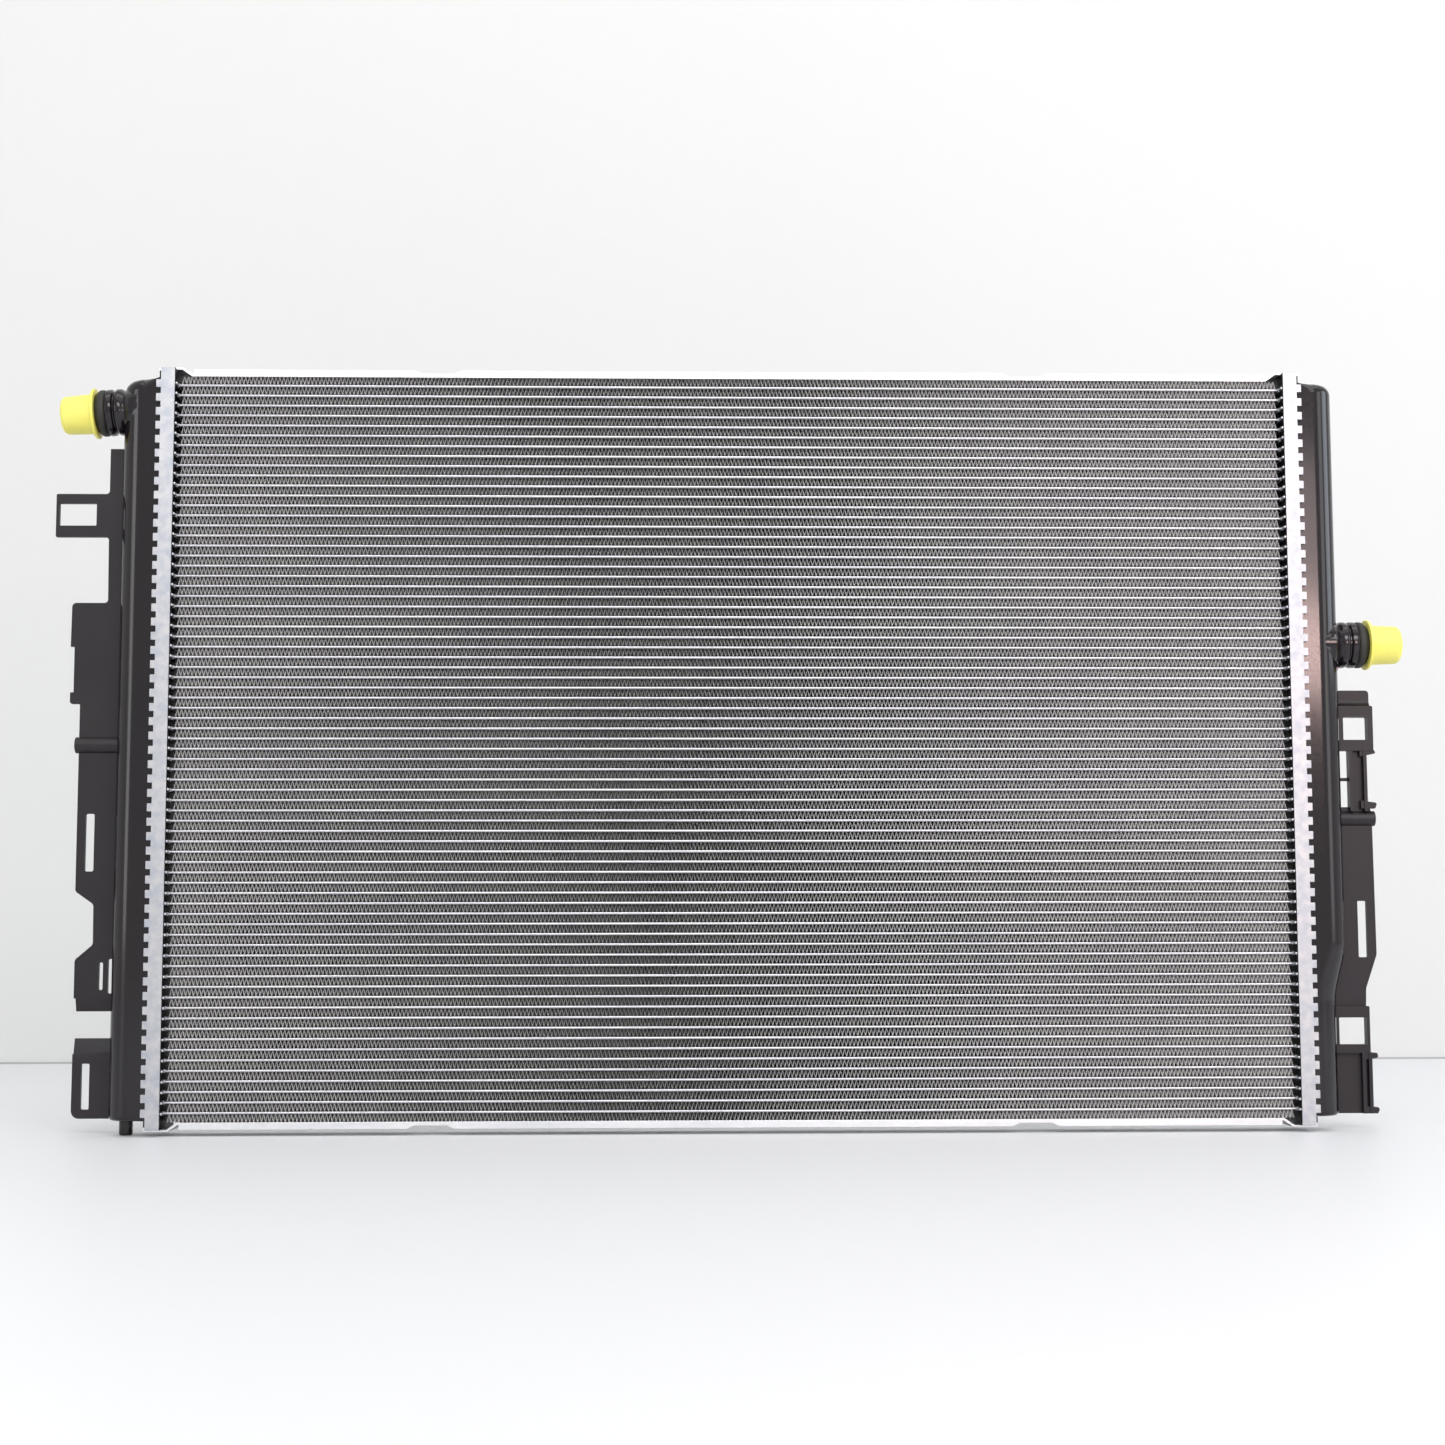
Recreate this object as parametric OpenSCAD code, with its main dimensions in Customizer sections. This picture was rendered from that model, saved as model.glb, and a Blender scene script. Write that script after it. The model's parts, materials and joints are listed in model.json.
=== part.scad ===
// Crossflow car radiator: brazed aluminium core, crimped plastic end tanks, capped hose spigots.
// Modelled about the middle of the core (X across, Y front to back, Z up), then stood on Z = 0.

/* [Core] */
// Number of flat coolant tubes
tube_count = 72; // [72:12:96]
// Distance from one tube to the next
tube_pitch = 6; // [6:0.5:8]
// Height of a flat tube
tube_h = 1.5; // [1.2:0.1:2]
// Thickness of the tube wall
tube_wall = 0.27; // [0.2:0.01:0.4]
// Width of the finned area
fin_len = 652; // [400:2:800]
// Depth of the core from front to back
core_depth = 26; // [16:1:36]
// Number of waves in one strip of fins
fin_waves = 24; // [10:1:40]
// Thickness of the fin sheet
fin_sheet = 0.3; // [0.1:0.05:0.5]

/* [Headers] */
// Gap between the fin ends and the header trays
header_gap = 2.7; // [2:0.1:5]
// Thickness of the header sheet
header_sheet = 1.5; // [1:0.1:2]
// Depth of a header tray from front to back
header_depth = 38.8; // [34:0.2:44]
// Height of the tray wall, measured along X
tray_wall = 8.3; // [7:0.1:12]
// How far a header reaches above and below the core
header_over = 4; // [3:0.5:8]
// Crimp tabs along one long side of a header
tab_count = 52; // [20:1:60]
// Width of one crimp tab
tab_w = 4.7; // [3:0.1:6]
// Distance from one crimp tab to the next
tab_pitch = 8.34; // [6:0.02:10]
// How far a bent tab stands past the tray wall
tab_rise = 2.7; // [1.6:0.1:3]
// How far a bent tab reaches over the tank's foot
tab_reach = 2.3; // [1.5:0.1:2.6]

/* [Side plates] */
// Thickness of the side plate sheet
plate_sheet = 1.2; // [0.8:0.1:1.6]
// Height of the side plate's flanges
plate_flange = 4.2; // [3:0.1:8]
// Length of a crimped relief notch in the flanges
relief_len = 27; // [10:1:40]
// Depth of a relief notch
relief_deep = 2; // [1:0.1:3]
// Distance from the middle of the core to a relief notch
relief_at = 175; // [100:1:250]

/* [Tanks] */
// How far a tank stands out from the tab tips
tank_out = 21.8; // [18:0.1:40]
// Thickness of the tank walls
tank_wall = 2.8; // [2:0.1:4]
// Radius of a tank's long outer edges
tank_edge_r = 14; // [6:1:14]
// How much shorter a tank's body is than its header, at each end
tank_short = 4.8; // [4.5:0.1:8]
// Radius of the locating peg under the left tank
peg_r = 3.9; // [3:0.1:6]
// Length of the locating peg
peg_len = 8.8; // [6:0.1:14]

/* [Spigots and caps] */
// Height of the left spigot above the middle of the core
left_spigot_z = 199.8; // [120:0.1:200]
// Downward tilt of the left spigot, in degrees
left_spigot_tilt = 4; // [0:0.5:6]
// Height of the right spigot above the middle of the core
right_spigot_z = 60.5; // [20:0.5:150]
// Radius of the spigot's collars
collar_r = 13.8; // [12:0.1:16]
// Radius of the spigot's nose
nose_r = 10.7; // [9:0.1:11]
// Radius of the bore through a spigot
bore_r = 8.6; // [6:0.1:9]
// Length of a spigot past its tank
spigot_len = 34; // [28:1:36]
// Radius of the cap's flange
cap_flange_r = 15; // [14:0.1:18]
// Thickness of the cap's wall
cap_wall = 1; // [0.8:0.1:1.5]

/* [Brackets] */
// Thickness of the bracket plates
wing_t = 2.6; // [2:0.1:4]
// Distance from the middle of the core back to the middle of the bracket plates
wing_y = 6; // [4:0.5:8]
// Depth of the framed clip sockets from front to back
socket_depth = 6; // [5:0.5:12]
// How far the left clip window reaches out from its tank
clip_reach = 41.1; // [40:0.1:50]
// Radius of the rounded stop under the right clip rail
right_stop_r = 4.5; // [3:0.1:5]
// Radius of the rounded stop across the left bracket plate
left_stop_r = 4.8; // [3:0.1:5]

/* [Hidden] */
$fn = 48;
fit_gap = 0.05;                                      // clearance left between brazed or crimped pieces
fin_h = tube_pitch - tube_h;
core_h = tube_count * tube_pitch + fin_h;
tray_x = fin_len / 2 + header_gap;                   // core side of the header tray
wall_x = tray_x + tray_wall;                         // outer edge of the tray's walls
tip_x = wall_x + tab_rise;                           // outermost face of the bent tabs
header_top = core_h / 2 + header_over;
tube_end = tray_x + header_sheet + 1.5;
ferrule_len = 1.4;
ferrule_t = 0.35;
gasket_t = 2;
gasket_w = 3.4;
foot_x = tray_x + header_sheet + gasket_t + 2 * fit_gap;
foot_top = tip_x - header_sheet - fit_gap;
tank_x = tip_x + tank_out;                           // outermost face of a tank
tank_top = header_top - tank_short;
tank_depth = header_depth - 2 * (header_sheet + tab_reach + fit_gap);
edge_r = min(tank_edge_r, tank_depth / 2 - 1);
right_step = 6.5;                                    // the right tank narrows below this step
right_step_top = -118;
right_step_end = -154;
hook_drop = 5.4;
plate_end = fin_len / 2 - 7;                         // where the side plate's flanges stop
spigot_root_left = tank_x - 2.1;
spigot_root_right = tank_x - 1;
cap_front = 18.7;                                    // the cap's flange, measured from the spigot's root
cap_len = 20.5;
cap_flange_t = 1.8;
cap_grip = 0.15;                                     // clearance between a cap and the spigot's nose
left_reach = tank_x + clip_reach;
right_reach = spigot_root_right + cap_front + cap_len;
base_z = tank_top + peg_len;
wing_front = wing_y - wing_t / 2;
wing_back = wing_y + wing_t / 2;
root_in = 18;                                        // how deep a bracket is drawn before the tank is cut out
lip_back = 2.5;
hook_depth = 5.3;
rib_depth = 5.8;
rib_t = 2;
bright_metal = [0.86, 0.87, 0.89];
gloss_black = [0.12, 0.11, 0.12];
matt_black = [0.2, 0.19, 0.19];
rubber_black = [0.08, 0.08, 0.08];
cap_yellow = [0.93, 0.92, 0.35];
bank_size = tube_count / 6;                          // the core is grouped in six banks
arc_steps = 5;

function tube_z(i) = core_h / 2 - fin_h - tube_h / 2 - i * tube_pitch;
function fin_z(i) = core_h / 2 - fin_h / 2 - i * tube_pitch;
function unit(v) = v / norm(v);

// One corner of an outline, rounded to radius c[2]: a is the corner before it and b the one after.
function round_corner(a, c, b) =
  let (p = [c[0], c[1]],
       u = unit([a[0], a[1]] - p),
       v = unit([b[0], b[1]] - p),
       half = acos(max(-1, min(1, u * v))) / 2,
       m = p + unit(u + v) * c[2] / sin(half),
       s = p + u * c[2] / tan(half) - m,
       turn = cross(s, p - m) > 0 ? 1 : -1)
  [for (k = [0 : arc_steps])
    let (t = turn * (180 - 2 * half) * k / arc_steps)
    m + [s[0] * cos(t) - s[1] * sin(t), s[0] * sin(t) + s[1] * cos(t)]];

// Points of a closed outline whose corners are [x, z] or [x, z, radius].
function rounded(pts) =
  let (n = len(pts))
  [for (i = [0 : n - 1])
    each (len(pts[i]) < 3 ? [pts[i]] : round_corner(pts[(i + n - 1) % n], pts[i], pts[(i + 1) % n]))];

function window(x0, z0, x1, z1, r) = rounded([[x0, z0, r], [x1, z0, r], [x1, z1, r], [x0, z1, r]]);

// Stands the finished radiator on the plane Z = 0, centred in X.
module place() {
  translate([(left_reach - right_reach) / 2, 0, base_z]) children();
}

// Turns a shape drawn in X and Z into a plate from y0 to y1.
module upright(y0, y1) {
  translate([0, y1, 0]) rotate([90, 0, 0]) linear_extrude(y1 - y0) children();
}

// Turns a shape drawn in Y and Z into a plate from x0 to x1.
module crosswise(x0, x1) {
  translate([x0, 0, 0]) rotate([90, 0, 90]) linear_extrude(x1 - x0) children();
}

module stadium(length, height) {
  square([length - height, height], center = true);
  for (side = [-1, 1]) translate([side * (length - height) / 2, 0]) circle(d = height);
}

// ---- core ----

module flat_tube(z) {
  translate([0, 0, z]) crosswise(-tube_end, tube_end) difference() {
    stadium(core_depth, tube_h);
    stadium(core_depth - 2 * tube_wall, tube_h - 2 * tube_wall);
  }
}

module fin_strip(z) {
  wave = (fin_len - 2 * fit_gap) / fin_waves;
  rise = fin_h / 2 - fin_sheet / 2 - fit_gap;
  crest = [for (i = [0 : 2 * fin_waves])
    [i * wave / 2 - fin_len / 2 + fit_gap, (i % 2 == 0 ? -1 : 1) * rise]];
  upper = [for (p = crest) [p[0], p[1] + fin_sheet / 2]];
  lower = [for (i = [len(crest) - 1 : -1 : 0]) [crest[i][0], crest[i][1] - fin_sheet / 2]];
  translate([0, 0, z]) upright(-core_depth / 2, core_depth / 2) polygon(concat(upper, lower));
}

module tube_bank(bank) {
  color(bright_metal) place()
    for (i = [(bank - 1) * bank_size : bank * bank_size - 1]) flat_tube(tube_z(i));
}

// The last bank also holds the strip under the lowest tube.
module fin_bank(bank) {
  color([0.55, 0.55, 0.56]) place()
    for (i = [(bank - 1) * bank_size : bank * bank_size - (bank == 6 ? 0 : 1)]) fin_strip(fin_z(i));
}

// ---- headers and gaskets, drawn for the right side ----

module tube_slots(grow) {
  for (i = [0 : tube_count - 1]) translate([0, tube_z(i)]) stadium(core_depth + 2 * grow, tube_h + 2 * grow);
}

// A tab stands on the tray's wall and is bent over the foot of the tank.
module crimp_tab(z) {
  y = header_depth / 2;
  translate([0, 0, z - tab_w / 2]) linear_extrude(tab_w) {
    translate([wall_x - fit_gap, y - header_sheet]) square([tab_rise + fit_gap, header_sheet]);
    translate([tip_x - header_sheet, y - header_sheet - tab_reach])
      square([header_sheet, tab_reach + fit_gap]);
  }
}

module header() {
  difference() {
    crosswise(tray_x, wall_x) square([header_depth, 2 * header_top], center = true);
    crosswise(tray_x + header_sheet, wall_x + 1)
      square([header_depth - 2 * header_sheet, 2 * (header_top - header_sheet)], center = true);
    crosswise(tray_x - 1, wall_x) tube_slots(fit_gap);
  }
  crosswise(tray_x - ferrule_len, tray_x + fit_gap) difference() {
    tube_slots(fit_gap + ferrule_t);
    tube_slots(fit_gap);
  }
  for (i = [0 : tab_count - 1]) {
    z = (i - (tab_count - 1) / 2) * tab_pitch;
    crimp_tab(z);
    mirror([0, 1, 0]) crimp_tab(z);
  }
}

module gasket() {
  outer = [header_depth - 2 * header_sheet - 2 * fit_gap, 2 * (header_top - header_sheet - fit_gap)];
  x0 = tray_x + header_sheet + fit_gap;
  crosswise(x0, x0 + gasket_t) difference() {
    square(outer, center = true);
    square(outer - [2 * gasket_w, 2 * gasket_w], center = true);
  }
}

module left_header() { color(bright_metal) place() mirror([1, 0, 0]) header(); }
module right_header() { color(bright_metal) place() header(); }
module left_gasket() { color(rubber_black) place() mirror([1, 0, 0]) gasket(); }
module right_gasket() { color(rubber_black) place() gasket(); }

// ---- side plates, drawn for the top ----

// The web steps out near each end, crosses the header and hooks over its outer edge.
module plate_web() {
  z0 = core_h / 2 + fit_gap;
  z1 = header_top + fit_gap;
  t = plate_sheet;
  hook_x = tip_x - header_sheet;
  upright(-core_depth / 2, core_depth / 2) polygon([
    [0, z0], [plate_end + 1, z0], [plate_end + 7, z1], [hook_x, z1], [hook_x, z1 + t - hook_drop],
    [hook_x + t, z1 + t - hook_drop], [hook_x + t, z1 + t], [plate_end + 6.2, z1 + t],
    [plate_end + 0.2, z0 + t], [0, z0 + t]]);
}

// A flange with two relief notches crimped into its edge.
module plate_flange_strip() {
  z0 = core_h / 2 + fit_gap;
  top = z0 + plate_flange;
  notch = [for (side = [-1, 1], k = [[-1, 0], [-0.7, 1], [0.7, 1], [1, 0]])
    [side * relief_at + k[0] * relief_len / 2, top - k[1] * relief_deep]];
  upright(0, plate_sheet) polygon(concat([[-plate_end, z0], [-plate_end, top]], notch,
    [[plate_end, top], [plate_end, z0]]));
}

module side_plate() {
  plate_web();
  mirror([1, 0, 0]) plate_web();
  translate([0, -core_depth / 2, 0]) plate_flange_strip();
  translate([0, core_depth / 2 - plate_sheet, 0]) plate_flange_strip();
}

module top_side_plate() { color(bright_metal) place() side_plate(); }
module bottom_side_plate() { color(bright_metal) place() mirror([0, 0, 1]) side_plate(); }

// ---- tanks, drawn for the right side ----

// Section of a tank across its length: square at the foot, round along the outer edges.
module tank_section(x0, inset) {
  y = tank_depth / 2 - inset;
  x1 = tank_x - inset;
  r = edge_r - inset;
  translate([x0, -y]) square([x1 - r - x0, 2 * y]);
  translate([x0, -(y - r)]) square([x1 - x0, 2 * (y - r)]);
  for (side = [-1, 1]) translate([x1 - r, side * (y - r)]) circle(r);
}

module tank_body(front, x0, inset) {
  intersection() {
    translate([0, 0, -tank_top]) linear_extrude(2 * tank_top) tank_section(x0, inset);
    upright(-tank_depth, tank_depth) polygon(front);
  }
}

module tank_foot() {
  y = header_depth / 2 - header_sheet - 2 * fit_gap;
  z = header_top - header_sheet - 2 * fit_gap;
  crosswise(foot_x, foot_top) square([2 * y, 2 * z], center = true);
}

// Outline of the right tank as seen from the front, moved in by inset.
function right_front(x0, inset) = rounded([
  [x0, -tank_top + inset], [tank_x - right_step - inset, -tank_top + inset, 3],
  [tank_x - right_step - inset, right_step_end, 12], [tank_x - inset, right_step_top, 24],
  [tank_x - inset, tank_top - inset, 6], [x0, tank_top - inset]]);

// Outline of the left tank, drawn for the right side as well.
function left_front(x0, inset) = rounded([
  [x0, -tank_top + inset], [tank_x - inset, -tank_top + inset, 2.5],
  [tank_x - inset, tank_top - inset, 8], [x0, tank_top - inset]]);

// Spigot outline from the root outwards, as [radius, distance].
function spigot_outline() = [
  [bore_r, -8], [collar_r - 1.4, -8], [collar_r - 1.4, 1.6], [collar_r - 0.4, 2.4], [collar_r, 3.4],
  [collar_r, 5.6], [collar_r - 0.5, 6.6], [collar_r - 1.7, 7.2], [collar_r - 1.7, 7.9],
  [collar_r - 0.4, 8.3], [collar_r, 8.9], [collar_r, 11.6], [collar_r - 0.4, 12.2],
  [nose_r, 12.2], [nose_r, spigot_len - 1.5], [nose_r - 1.2, spigot_len], [bore_r, spigot_len]];

// Seal ring pushed on the nose against the last collar, with a tapered lead-in.
function seal_outline() =
  let (r = nose_r + fit_gap)
  [[r, 12.25], [collar_r - 0.9, 12.25], [collar_r - 0.9, 12.9], [collar_r, 13.3], [collar_r, 15.8],
   [collar_r - 0.6, 16.5], [r + 0.5, 18.5], [r, 18.5]];

module turned(outline) {
  rotate([0, 90, 0]) rotate_extrude() polygon(outline);
}

// The right spigot's place, and the left one's before it is mirrored.
module at_right_spigot() { translate([spigot_root_right, 0, right_spigot_z]) children(); }
module at_left_spigot() {
  translate([spigot_root_left, 0, left_spigot_z]) rotate([0, left_spigot_tilt, 0]) children();
}

module spigot_bore() { rotate([0, 90, 0]) translate([0, 0, -12]) cylinder(r = bore_r, h = spigot_len + 14); }

module tank_hollow(front_inner) {
  inner_y = tank_depth / 2 - tank_wall;
  tank_body(front_inner, foot_x - 1, tank_wall);
  crosswise(foot_x - 1, foot_top + 1) square([2 * inner_y, 2 * (tank_top - tank_wall)], center = true);
}

// Small gusset between the right spigot's neck and the tank.
module gusset() {
  x = spigot_root_right - 2;
  z = right_spigot_z - collar_r + 2;
  upright(-1.2, 1.2) polygon([[x - 4, z], [x + 6.4, z], [x + 2.6, z - 5.4], [x - 4, z - 9]]);
}

module right_tank() {
  color(gloss_black) place() difference() {
    union() {
      tank_foot();
      tank_body(right_front(foot_x, 0), foot_x, 0);
      at_right_spigot() turned(spigot_outline());
      gusset();
    }
    tank_hollow(right_front(foot_x - 1, tank_wall));
    at_right_spigot() spigot_bore();
  }
}

module left_tank() {
  color(gloss_black) place() mirror([1, 0, 0]) difference() {
    union() {
      tank_foot();
      tank_body(left_front(foot_x, 0), foot_x, 0);
      at_left_spigot() turned(spigot_outline());
      translate([tank_x - 9.6, 0, -base_z]) cylinder(r = peg_r, h = peg_len + 1);
    }
    tank_hollow(left_front(foot_x - 1, tank_wall));
    at_left_spigot() spigot_bore();
  }
}

module left_spigot_seal() {
  color(rubber_black) place() mirror([1, 0, 0]) at_left_spigot() turned(seal_outline());
}
module right_spigot_seal() { color(rubber_black) place() at_right_spigot() turned(seal_outline()); }

// ---- transport caps ----

function cap_outline() =
  let (inner = nose_r + cap_grip,
       end = cap_front + cap_len,
       outer = inner + cap_wall,
       taper = 0.6)
  concat(
    [[inner, cap_front], [cap_flange_r - 0.4, cap_front], [cap_flange_r, cap_front + 0.4],
     [cap_flange_r, cap_front + cap_flange_t - 0.4], [cap_flange_r - 0.4, cap_front + cap_flange_t],
     [outer + 0.4, cap_front + cap_flange_t]],
    [for (k = [0 : arc_steps])
      let (t = 90 * k / arc_steps)
      [outer - taper - 3 + 3 * cos(t), end - 3 + 3 * sin(t)]],
    [[0, end], [0, end - cap_wall], [inner - 2.4, end - cap_wall], [inner - 0.6, end - cap_wall - 2.4],
     [inner, spigot_len + 0.4]]);

module left_cap() {
  color(cap_yellow) place() mirror([1, 0, 0]) at_left_spigot() turned(cap_outline());
}
module right_cap() { color(cap_yellow) place() at_right_spigot() turned(cap_outline()); }

// ---- bracket plates ----
// Drawn for the right side, with X measured out from the face of the tank and Z from the middle of the core.

// Keeps a bracket plate just clear of its tank, whose front outline is given.
module clear_of_tank(front) {
  difference() {
    translate([tank_x, 0, 0]) children();
    tank_body(front, foot_x, -fit_gap);
  }
}

module wing(outline) { upright(wing_front, wing_back) polygon(outline); }
module wing_cut(outline) { upright(-header_depth, header_depth) polygon(outline); }

// A rounded stop that runs across a plate and ends at x.
module stop_bar(x, z, r) {
  translate([-root_in, wing_y, z]) rotate([0, 90, 0]) cylinder(r = r, h = x + root_in);
}

// A bent lip along an edge of a plate, from z0 at the plate to z1 further back.
module bent_lip(x, z0, z1) {
  crosswise(-root_in, x) polygon([
    [wing_front, z0], [wing_back, z0], [wing_back + lip_back, z1], [wing_front + lip_back, z1]]);
}

function left_upper_wing() = rounded([
  [-root_in, 178.3], [9.7, 178.3], [9.7, 151, 2], [clip_reach, 151, 0.8], [clip_reach, 125, 0.8],
  [9.6, 125, 2], [9.2, 85.4, 2], [30.2, 85.4, 2.5], [30.5, 59.2], [28.2, 59.2], [28.2, 32],
  [30.2, 32, 0.5], [30.2, 25.1, 1.5], [24.2, 25.1, 1], [24.2, -85.5, 2.5], [13.5, -93, 3],
  [13.2, -116.5, 3], [23.6, -125.4, 3], [23.6, -147.8], [-root_in, -147.8]]);

function left_lower_wing() = rounded([
  [-root_in, -180], [23.5, -180], [23.6, -217.2, 4.5], [-root_in, -217.2]]);

module left_bracket() {
  color(matt_black) place() mirror([1, 0, 0]) clear_of_tank(left_front(foot_x, -fit_gap)) difference() {
    union() {
      wing(left_upper_wing());
      wing(left_lower_wing());
      stop_bar(26.1, 0.6, left_stop_r);
      bent_lip(22.5, -147.8, -155.4);
      bent_lip(22.9, -180, -171);
    }
    wing_cut(window(17.2, 131.9, 39.1, 145.2, 0.6));
    wing_cut(window(14, -73.8, 19.2, -39.9, 1));
    wing_cut(window(13.4, -212, 18.2, -185.5, 0.8));
    wing_cut(window(7, -143, 9.4, -126.9, 1));
    wing_cut(window(1.4, -145, 4.1, -124.9, 1));
  }
}

// A deep block; the window through it is cut later.
module socket(x, z0, z1) {
  upright(wing_back - socket_depth, wing_back) polygon(window(-root_in, z0, x, z1, 0.8));
}

// A hollow curve that leads from the front of a plate out to the top of a socket, at z.
module cove(x, z, r) {
  crosswise(-root_in, x) polygon(concat(
    [[wing_back, z - 0.5], [wing_front - r, z - 0.5]],
    [for (a = [0:15:90]) [wing_front - r + r * sin(a), z + r - r * cos(a)]],
    [[wing_back, z + r]]));
}

// A snap hook on the edge of a rail, pointing outwards. lean slants its upper or lower side.
module hook(x, z0, z1, lean) {
  upright(wing_back - hook_depth, wing_back) polygon([
    [x - 4, z0], [x + 4.4, z0 + max(0, lean)], [x + 5.4, (z0 + z1) / 2], [x + 4.8, z1 + min(0, lean)],
    [x - 4, z1]]);
}

// A rail for a sliding clip: a plate with a rib along each edge.
module clip_rail(x0, x1, z0, z1) {
  wing(window(x0, z0, x1, z1, 0.2));
  for (x = [x0, x1 - rib_t])
    upright(wing_back - rib_depth, wing_y) translate([x, z0]) square([rib_t, z1 - z0]);
}

function right_plate() = rounded([
  [-root_in, -36.4], [19.3, -36.4], [20.7, -40], [21.2, -124, 6], [14.3, -144, 6], [13.9, -156],
  [-root_in, -156]]);

module right_bracket() {
  color(matt_black) place() clear_of_tank(right_front(foot_x, -fit_gap)) difference() {
    union() {
      wing(rounded([[-root_in, 20], [20.8, 20], [20.8, 33.7, 2], [-root_in, 33.7]]));
      cove(20.8, 24.1, socket_depth - wing_t);
      socket(21.9, -2.8, 24.1);
      wing(window(-root_in, -40, 0.8, -1, 0.2));
      wing(window(-root_in, -20.8, 8, -18.9, 0.2));
      clip_rail(7.1, 17.7, -39, -1);
      hook(17.7, -6.2, -2.4, 1.6);
      hook(17.7, -37.3, -32.6, -1.2);
      stop_bar(22.2, -43.2, right_stop_r);
      wing(right_plate());
      socket(14.9, -181.8, -154.3);
      wing(window(-root_in, -217.1, 15.8, -181, 0.5));
      clip_rail(9.9, 15.8, -217.1, -181.4);
      hook(14.1, -186, -181.8, 1.2);
      hook(14.1, -217.1, -212.6, -1);
    }
    wing_cut(window(4, 3.7, 18.8, 17.4, 0.5));
    wing_cut(window(10.5, -125.6, 15.9, -92.3, 0.6));
    wing_cut(window(-3.4, -176.8, 13.2, -161, 0.5));
  }
}

left_tank();
right_tank();
left_bracket();
right_bracket();
left_header();
right_header();
left_gasket();
right_gasket();
top_side_plate();
bottom_side_plate();
left_spigot_seal();
right_spigot_seal();
left_cap();
right_cap();
tube_bank(1);  // tube_bank_1
tube_bank(2);  // tube_bank_2
tube_bank(3);  // tube_bank_3
tube_bank(4);  // tube_bank_4
tube_bank(5);  // tube_bank_5
tube_bank(6);  // tube_bank_6
fin_bank(1);  // fin_bank_1
fin_bank(2);  // fin_bank_2
fin_bank(3);  // fin_bank_3
fin_bank(4);  // fin_bank_4
fin_bank(5);  // fin_bank_5
fin_bank(6);  // fin_bank_6
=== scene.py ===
import json
import math
import random

import bpy
from mathutils import Matrix, Vector


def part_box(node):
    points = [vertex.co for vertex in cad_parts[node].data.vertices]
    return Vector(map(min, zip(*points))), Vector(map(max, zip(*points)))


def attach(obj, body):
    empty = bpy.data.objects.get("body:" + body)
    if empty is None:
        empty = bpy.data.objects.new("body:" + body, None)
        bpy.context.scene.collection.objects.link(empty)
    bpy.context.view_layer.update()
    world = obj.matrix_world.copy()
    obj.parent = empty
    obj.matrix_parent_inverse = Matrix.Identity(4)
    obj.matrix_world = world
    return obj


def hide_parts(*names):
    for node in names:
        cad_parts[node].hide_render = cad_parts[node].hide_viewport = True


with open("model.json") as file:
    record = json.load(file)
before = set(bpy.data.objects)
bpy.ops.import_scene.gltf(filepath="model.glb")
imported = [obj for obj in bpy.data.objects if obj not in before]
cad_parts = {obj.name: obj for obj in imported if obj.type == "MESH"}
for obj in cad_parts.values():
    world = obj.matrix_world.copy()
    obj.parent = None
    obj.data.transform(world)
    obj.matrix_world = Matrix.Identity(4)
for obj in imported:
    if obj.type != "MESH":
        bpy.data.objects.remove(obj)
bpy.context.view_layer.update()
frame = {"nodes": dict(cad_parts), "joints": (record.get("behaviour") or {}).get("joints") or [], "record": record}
mm = 0.001
print("frame loaded:", len(frame["nodes"]), "nodes")


def boxOf(*nodes):
    lows, highs = zip(*(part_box(n) for n in nodes))
    low = Vector([min(p[i] for p in lows) for i in range(3)])
    high = Vector([max(p[i] for p in highs) for i in range(3)])
    return low, high


tubeBanks = [f"tube_bank_{i}" for i in range(1, 7)]
finBanks = [f"fin_bank_{i}" for i in range(1, 7)]
coreLow, coreHigh = boxOf(*finBanks)
coreMiddle = (coreLow + coreHigh) / 2


def clearSelection():
    bpy.ops.object.select_all(action="DESELECT")


def makeActive(piece):
    clearSelection()
    piece.select_set(True)
    bpy.context.view_layer.objects.active = piece


def startEdit(piece, mode="VERT"):
    makeActive(piece)
    bpy.ops.object.mode_set(mode="EDIT")
    bpy.ops.mesh.select_mode(type=mode)
    bpy.ops.mesh.select_all(action="DESELECT")


def endEdit():
    bpy.ops.object.mode_set(mode="OBJECT")


def dropSelection(mesh):
    for part in (*mesh.vertices, *mesh.edges, *mesh.polygons):
        part.select = False  # else the corners of old picks come back selected


def pickVertices(piece, test):
    bpy.ops.object.mode_set(mode="OBJECT")
    mesh = piece.data
    dropSelection(mesh)
    for v in mesh.vertices:
        v.select = test(v.co)
    bpy.ops.object.mode_set(mode="EDIT")
    bpy.ops.mesh.select_mode(type="VERT")


def pickFaces(piece, test):
    bpy.ops.object.mode_set(mode="OBJECT")
    mesh = piece.data
    dropSelection(mesh)
    for f in mesh.polygons:
        f.select = test(f.center, f.normal)
    bpy.ops.object.mode_set(mode="EDIT")
    bpy.ops.mesh.select_mode(type="FACE")


def pickEdges(piece, test):
    bpy.ops.object.mode_set(mode="OBJECT")
    mesh = piece.data
    dropSelection(mesh)
    for e in mesh.edges:
        a, b = (mesh.vertices[i].co for i in e.vertices)
        e.select = test(a, b)
    bpy.ops.object.mode_set(mode="EDIT")
    bpy.ops.mesh.select_mode(type="EDGE")


def addCube(name, low, high):
    clearSelection()
    low, high = Vector(low), Vector(high)
    bpy.ops.mesh.primitive_cube_add(size=1, location=(low + high) / 2)
    piece = bpy.context.object
    piece.name = piece.data.name = name
    piece.scale = high - low
    bpy.ops.object.transform_apply(location=True, rotation=True, scale=True)
    return piece


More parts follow.
